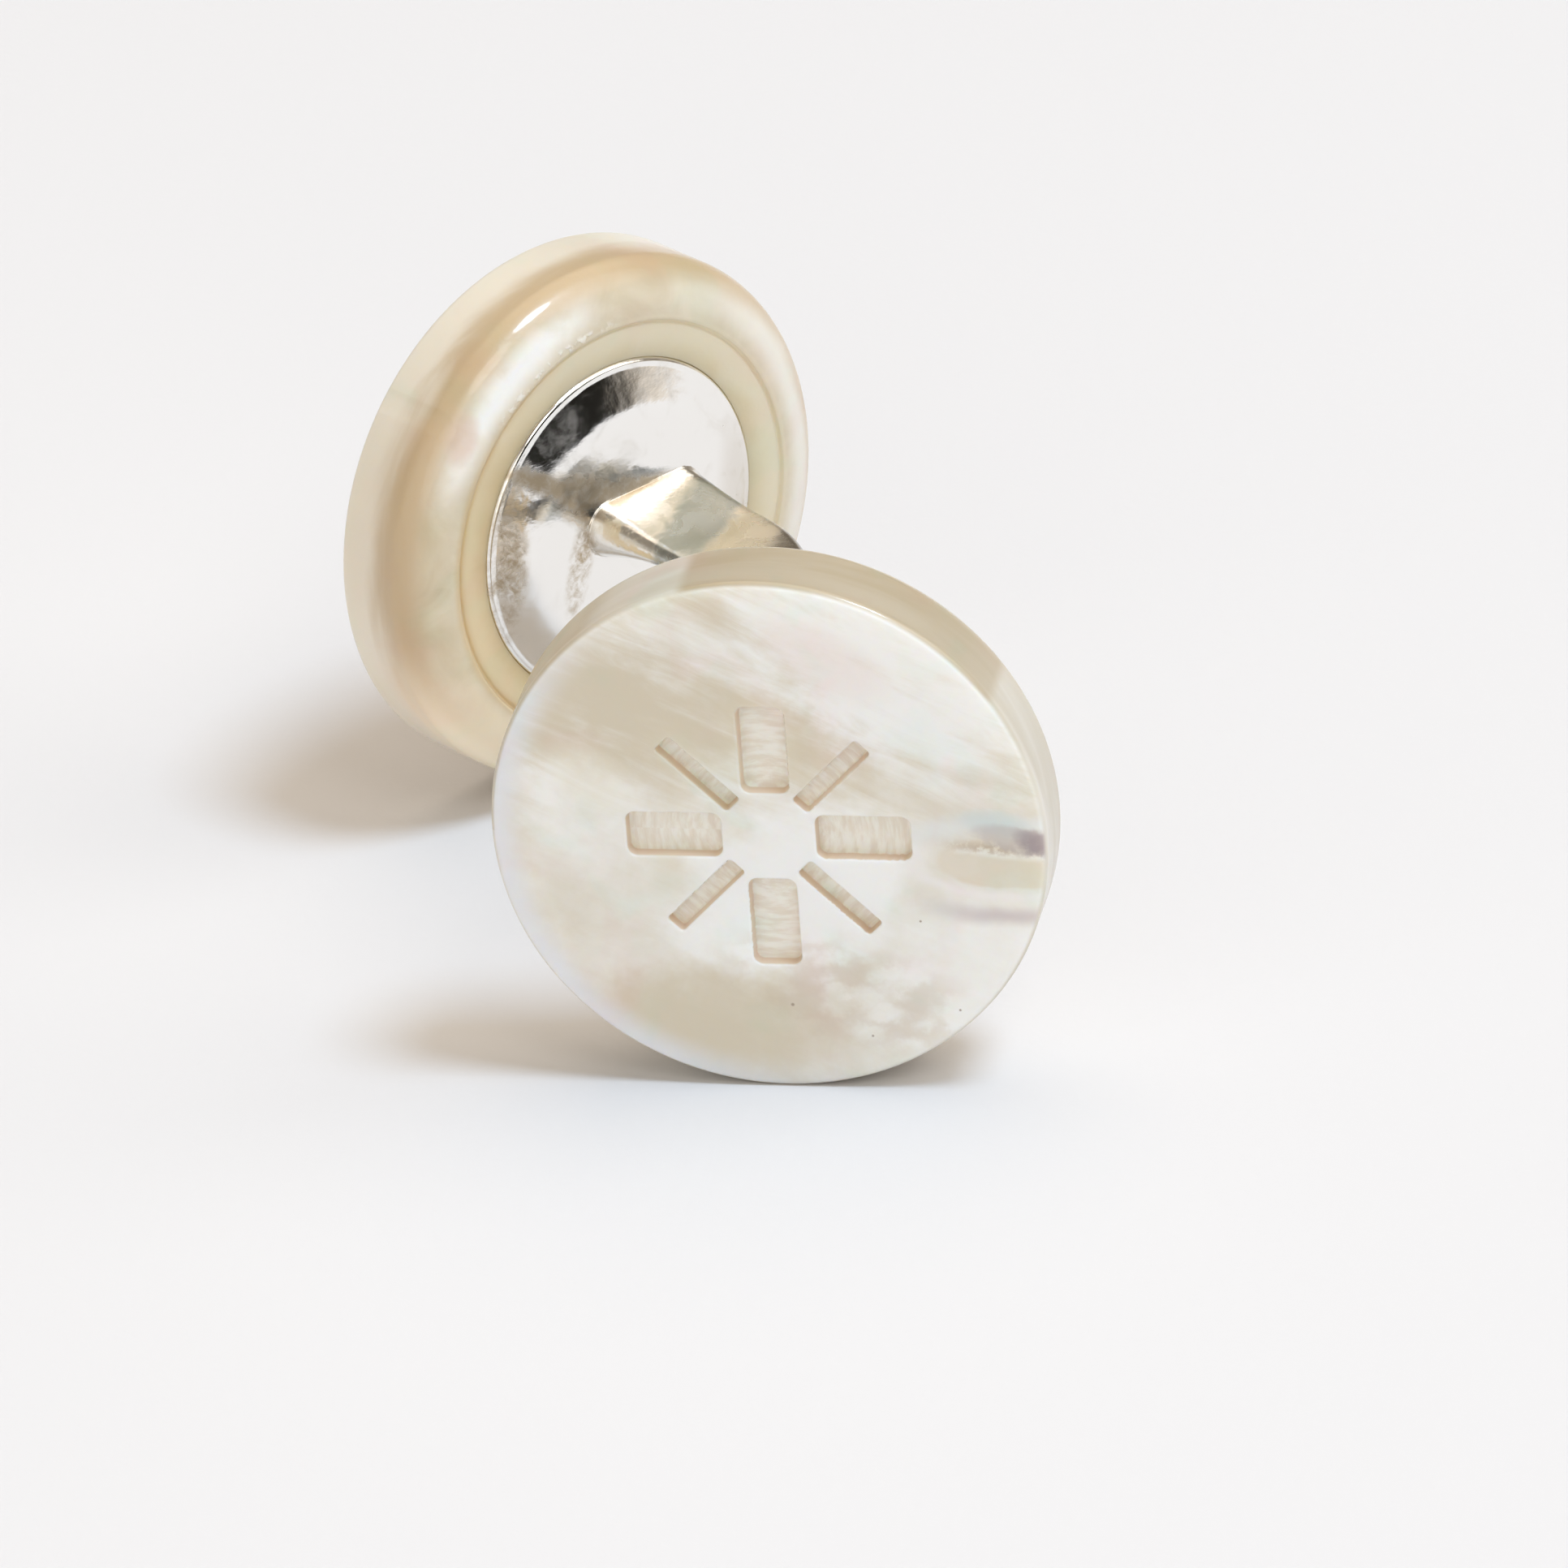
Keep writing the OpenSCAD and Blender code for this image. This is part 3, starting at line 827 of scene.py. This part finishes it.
def back_pearl():
    material, bench = new_material("pearl_back")
    spot = own_frame(bench, BACK)
    x, y, z = bench.split(spot)
    reach = (x * x + y * y) ** 0.5
    colour = back_tones(bench, reach, spot)
    # Wall: a dark beige band of painted shade beside the shoulder, painted lighter low down, paler towards
    # the face
    layers = bench.noise(bench.combine(x * 0.25, y * 0.25, z * 0.9 + 9.0), 1.0, 3.0, 0.5, 0.5)
    shade = bench.blend(tone(202, 179, 144), tone(248, 232, 206), bench.rise(-y, 0.5, 5.0))
    wall = bench.blend(shade, tone(234, 225, 208), bench.rise(z + (layers - 0.5) * 1.4, 1.2, 2.4))
    left = bench.rise(-x, 1.5, 7.0) * bench.rise(reach, 6.3, 7.0)
    colour = bench.blend(colour, tone(240, 237, 229), left * 0.8)
    # Painted light on the lower part of the crest and shoulder, which lie in shade
    low = bench.rise(-y, 0.0, 5.5) * bench.rise(x, -4.0, 2.0) * bench.rise(reach, 6.2, 6.8)
    colour = bench.blend(colour, tone(252, 238, 212), low * 0.75)
    # Painted highlight: a broad pale patch on the shoulder's upper left
    cloudy = bench.rise(bench.noise(spot, 0.8, 4.0, 0.55, 0.4), 0.3, 0.6)
    painted_highlight = bench.ridge(reach, 7.05, 0.85) * bench.patch(x, y, (3.8, 5.9), (5.2, 2.6), -34)
    painted_highlight = painted_highlight * (0.65 + 0.35 * cloudy)
    colour = bench.blend(colour, wall, bench.rise(reach + (layers - 0.5) * 0.4, 7.15, 7.85))
    colour = bench.blend(colour, tone(254, 252, 248), painted_highlight)
    # Painted glints: small white spots on chips beside the turned line, which also raise the bump
    glint_chips = bench.ridge(reach, 6.46, 0.2) * bench.rise(bench.noise(spot, 3.2, 2.0, 0.5), 0.5, 0.62) * 0.8
    glint_chips = glint_chips * bench.patch(x, y, (2.2, 6.2), (3.2, 1.6), -15)
    colour = bench.blend(colour, tone(255, 252, 246), glint_chips)
    colour = bench.blend(colour, tone(214, 181, 160), bench.patch(x, y, (5.5, 4.8), (0.55, 1.0), 35) * 0.45)
    # Plain face, on the far side
    clouds = bench.rise(bench.noise(spot, 0.35, 5.0, 0.55, 0.9), 0.36, 0.64)
    face = bench.blend(tone(238, 236, 230), tone(216, 202, 180), clouds)
    colour = bench.blend(colour, face, bench.rise(z, DISC_T - 0.12, DISC_T - 0.02))
    colour = faint_colours(bench, colour, spot, 0.35)
    # Hand-turned surface: soft ripples, two dimples, and the chips beside the turned line that carry painted
    # glints
    ripple = bench.noise(spot, 0.9, 4.0, 0.55)
    dimple = bench.patch(x, y, (7.0, 0.2), (0.55, 0.45)) + bench.patch(x, y, (5.9, 5.3), (0.35, 0.5))
    height = ripple + glint_chips * 1.2 - dimple * 0.9
    bump = bench.add("ShaderNodeBump", None, {"Strength": 0.8, "Distance": 0.00004, "Height": height})
    pearl_shader(bench, colour, 0.26 + 0.12 * ripple, bump)
    return material


def hand_polished_silver():
    """Silver with smudges, warm tarnish by the solder, a brown wedge of painted reflection, painted
    reflections in bands across the bar, and fine hairlines.
    """
    material, bench = new_material("polished_silver")
    spot = own_frame(bench, BACK)
    x, y, z = bench.split(spot)
    smear = bench.noise(spot, 0.8, 6.0, 0.62, 0.8)
    fine = bench.noise(spot, 3.2, 6.0, 0.7, 0.5)
    on_plate = bench.rise(z, -0.75, -0.45)
    tarnish = bench.patch(x, y, (4.5, 0.2), (0.75, 3.2), 8)
    tarnish = tarnish + 1.2 * bench.patch(x, y, (2.1, -0.4), (0.55, 1.9), 16)
    tarnish = tarnish * on_plate * bench.rise(0.45 * fine + 0.55 * smear, 0.4, 0.62)
    tarnish = tarnish + 0.3 * bench.patch(x, y, (-4.4, -1.0), (1.3, 3.4), 0) * on_plate
    tarnish = tarnish + 0.12 * bench.rise(smear, 0.5, 0.74)
    colour = bench.blend((0.93, 0.915, 0.885, 1), (0.5, 0.41, 0.29, 1), tarnish)
    # A brown wedge of painted reflection between the foot of the bar and the edge of the plate
    above = bench.rise(1.95 + 0.36 * x - y + (smear - 0.5) * 0.8, -0.1, 0.35)
    below = bench.rise(y - (1.16 + 0.88 * (x - 2.02)).maths("MAXIMUM", 1.0) + (fine - 0.5) * 0.6, -0.15, 0.4)
    painted_reflection_wedge = above * below * on_plate * bench.rise(x, -3.0, -1.0)
    colour = bench.blend(colour, (0.62, 0.52, 0.38, 1), painted_reflection_wedge * (0.7 + 0.3 * bench.rise(fine, 0.35, 0.6)))
    # Painted reflections in bands across the bar: grey, warm, then dark over its middle
    reflection_band = z + 0.5 * x + (smear - 0.5) * 0.9
    on_bar = 1 - on_plate
    grey = bench.rise(reflection_band, -1.9, -2.3) * bench.rise(reflection_band, -4.1, -3.5) * on_bar
    warm = bench.rise(reflection_band, -3.6, -4.1) * bench.rise(reflection_band, -5.9, -5.3) * on_bar
    dark = bench.rise(reflection_band, -5.3, -5.9) * bench.rise(reflection_band, -11.5, -9.5) * on_bar
    colour = bench.blend(colour, (0.42, 0.46, 0.46, 1), grey * 0.85)
    colour = bench.blend(colour, (0.78, 0.73, 0.62, 1), warm * 0.9)
    colour = bench.blend(colour, (0.3, 0.27, 0.22, 1), dark * 0.8)
    roughness = 0.09 + 0.16 * bench.rise(smear, 0.42, 0.7) + 0.2 * tarnish.maths("MINIMUM", 1.0)
    roughness = roughness + 0.22 * painted_reflection_wedge + 0.1 * (grey + warm + dark)
    hairs = bench.noise(bench.vector("MULTIPLY", spot, (6.0, 26.0, 6.0)), 1.0, 3.0, 0.6)
    dents = bench.noise(spot, 1.3, 3.0, 0.5)
    height = hairs * 0.12 + dents * 1.6 + fine * 0.15
    bump = bench.add("ShaderNodeBump", None, {"Strength": 1.0, "Distance": 0.00001, "Height": height})
    output(bench, bench.add("ShaderNodeBsdfPrincipled", None, {
        "Base Color": colour, "Metallic": 1.0, "Roughness": roughness, "Normal": bump}))
    return material


def paper():
    material, bench = new_material("paper")
    where = bench.add("ShaderNodeTexCoord", None, None, "Object")
    grain = bench.noise(where, 2500.0, 4.0, 0.6)
    bump = bench.add("ShaderNodeBump", None, {"Strength": 0.25, "Distance": 0.00005, "Height": grain})
    output(bench, bench.add("ShaderNodeBsdfPrincipled", None, {
        "Base Color": (0.79, 0.784, 0.793, 1), "Roughness": 0.85, "Normal": bump}))
    return material


# Finishes
pearl_front = front_pearl()
pearl_back = back_pearl()
polished_silver = hand_polished_silver()

# Discs
turning = turning_tree()
back_outline = disc_back_outline()
wide_ray = linked("wide_ray", ray_mesh("wide_ray", WIDE_RAY))
narrow_ray = linked("narrow_ray", ray_mesh("narrow_ray", NARROW_RAY))
face_r = back_outline[-1][0]
front = make("front_pearl", engraved_tree(), outline_mesh("front_outline", back_outline), FRONT,
             steps_round=STEPS_ROUND, finish=pearl_front, wide_ray=wide_ray, narrow_ray=narrow_ray,
             ray_pairs=RAY_PAIRS, face_radius=face_r, face_height=DISC_T, chatter=CHATTER, ragged=RAGGED)
discard(wide_ray, narrow_ray)
bare_face = [(face_r * t, DISC_T) for t in (0.75, 0.5, 0.25, 0)]
back = make("back_pearl", turning, outline_mesh("back_outline", back_outline + bare_face), BACK,
            steps_round=STEPS_ROUND, finish=pearl_back)

# Plates and bar
plates = [make(name, turning, outline_mesh(name, plate_outline()), place,
               steps_round=STEPS_ROUND, finish=polished_silver)
          for name, place in (("front_plate", FRONT), ("back_plate", BACK))]
bar_place = Matrix.Translation((FRONT.translation.x, 0, DISC_R * MM)) @ Matrix.Scale(MM, 4)
section = linked("strip_section", strip_section_mesh())
bar = make("bar", strip_tree(), bar_mesh(), bar_place, section=section, finish=polished_silver)
link = make("silver_link", soldered_tree(), bar.data.copy(), front_plate=plates[0], back_plate=plates[1],
            unevenness=UNEVENNESS * MM, finish=polished_silver)
discard(section, bar, *plates)

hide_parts("front_disc")
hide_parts("back_disc")
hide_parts("link_bar")
for piece, slot in ((front, "pearl_front"), (back, "pearl_back"), (link, "silver")):
    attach(piece, "root")

# Floor, in metres
left, right, near, far = -0.6, 0.6, -0.4, 1.6
floor_mesh = bpy.data.meshes.new("floor")
floor_mesh.from_pydata([(left, near, 0), (right, near, 0), (right, far, 0), (left, far, 0)],
                       [], [(0, 1, 2, 3)])
floor = linked("floor", floor_mesh)
floor.data.materials.append(paper())


# Studio lights: how far away they stand, in metres, where they aim, and their two colours
LIGHT_DISTANCE = 1.4
LIGHT_AIM = Vector((0, 0, 6)) * MM
COOL = (0.79, 1.0, 1.25)
WARM = (1.04, 1.0, 0.94)


def softbox(name, azimuth, altitude, size, power, colour):
    """A round area light, its size in metres. Angles are in degrees, azimuth 0 at +x and 90 at +y."""
    data = bpy.data.lights.new(name, "AREA")
    data.shape = "DISK"
    data.size = size
    data.energy = power
    data.color = colour
    light = linked(name, data)
    a, e = math.radians(azimuth), math.radians(altitude)
    bearing = Vector((math.cos(a) * math.cos(e), math.sin(a) * math.cos(e), math.sin(e)))
    light.location = LIGHT_DISTANCE * bearing
    light.rotation_mode = "QUATERNION"
    light.rotation_quaternion = (LIGHT_AIM - light.location).to_track_quat("-Z", "Y")


softbox("key_light", azimuth=-42, altitude=65, size=0.42, power=8.5, colour=COOL)
softbox("front_light", azimuth=-79, altitude=48, size=0.56, power=2.3, colour=WARM)
softbox("low_fill", azimuth=-104, altitude=24, size=0.8, power=1.5, colour=WARM)


def studio_world():
    """A warm dim room with the four patches of light and dark that the silver shows."""
    world = bpy.data.worlds.new("studio")
    world.use_nodes = True
    world.node_tree.nodes.clear()
    bench = Bench(world.node_tree)
    where = bench.add("ShaderNodeTexCoord", None, None, "Generated")
    _, _, upward = bench.split(where)
    light = bench.blend((0.86, 0.79, 0.71, 1), (0.28, 0.24, 0.19, 1), bench.rise(upward, -0.02, 0.22))
    # Each patch: its bearing, the cosines of the angles at its rim and its full part, and its light
    patches = (
        ((0.2, 0.3, 0.93), 0.8, 0.93, (1.46, 1.24, 1.0, 1)),           # bright, overhead
        ((0.69, -0.26, 0.68), 0.9, 0.96, (2.0, 1.9, 1.75, 1)),         # brightest, high on the right
        ((-0.72, -0.66, 0.2), 0.74, 0.92, (0.9, 0.86, 0.79, 1)),       # pale, low on the left
        ((0.52, -0.84, 0.14), 0.76, 0.9, (0.015, 0.014, 0.012, 1)))    # dark, low on the right
    for bearing, rim, full, shade in patches:
        nearness = bench.vector("DOT_PRODUCT", where, Vector(bearing).normalized(), out="Value")
        light = bench.blend(light, shade, bench.rise(nearness, rim, full))
    # The camera itself sees the plain pale backdrop
    seen = bench.add("ShaderNodeLightPath", None, None, "Is Camera Ray")
    colour = bench.blend(light, (0.88, 0.88, 0.89, 1), seen)
    back = bench.add("ShaderNodeBackground", None, {"Color": colour, "Strength": 1.0})
    end = bench.tree.nodes.new("ShaderNodeOutputWorld")
    bench.connect(end.inputs["Surface"], back)
    bpy.context.scene.world = world


studio_world()

# Camera: the photograph's view, solved from the outlines of both discs. Its distance is in metres, the
# sensor and the lens are in millimetres.
AZIMUTH, ELEVATION, ROLL = math.radians(-13.82), math.radians(27.05), math.radians(-4.43)
CAMERA_DISTANCE = 0.6
TARGET = Vector((2.228, -2.211, 4.496)) * MM
SENSOR_WIDTH = 36.0
LENS = 478.9

camera_data = bpy.data.cameras.new("camera")
camera_data.sensor_width = SENSOR_WIDTH
camera_data.lens = LENS
camera = linked("camera", camera_data)
bpy.context.scene.camera = camera
towards_camera = Vector((math.sin(AZIMUTH) * math.cos(ELEVATION), -math.cos(AZIMUTH) * math.cos(ELEVATION),
                         math.sin(ELEVATION)))
camera.location = TARGET + CAMERA_DISTANCE * towards_camera
camera.rotation_mode = "QUATERNION"
level = (-towards_camera).to_track_quat("-Z", "Y")
camera.rotation_quaternion = level @ Matrix.Rotation(ROLL, 4, "Z").to_quaternion()
camera_data.clip_start = 0.01
camera_data.clip_end = 10

bpy.context.scene.view_settings.view_transform = "Standard"
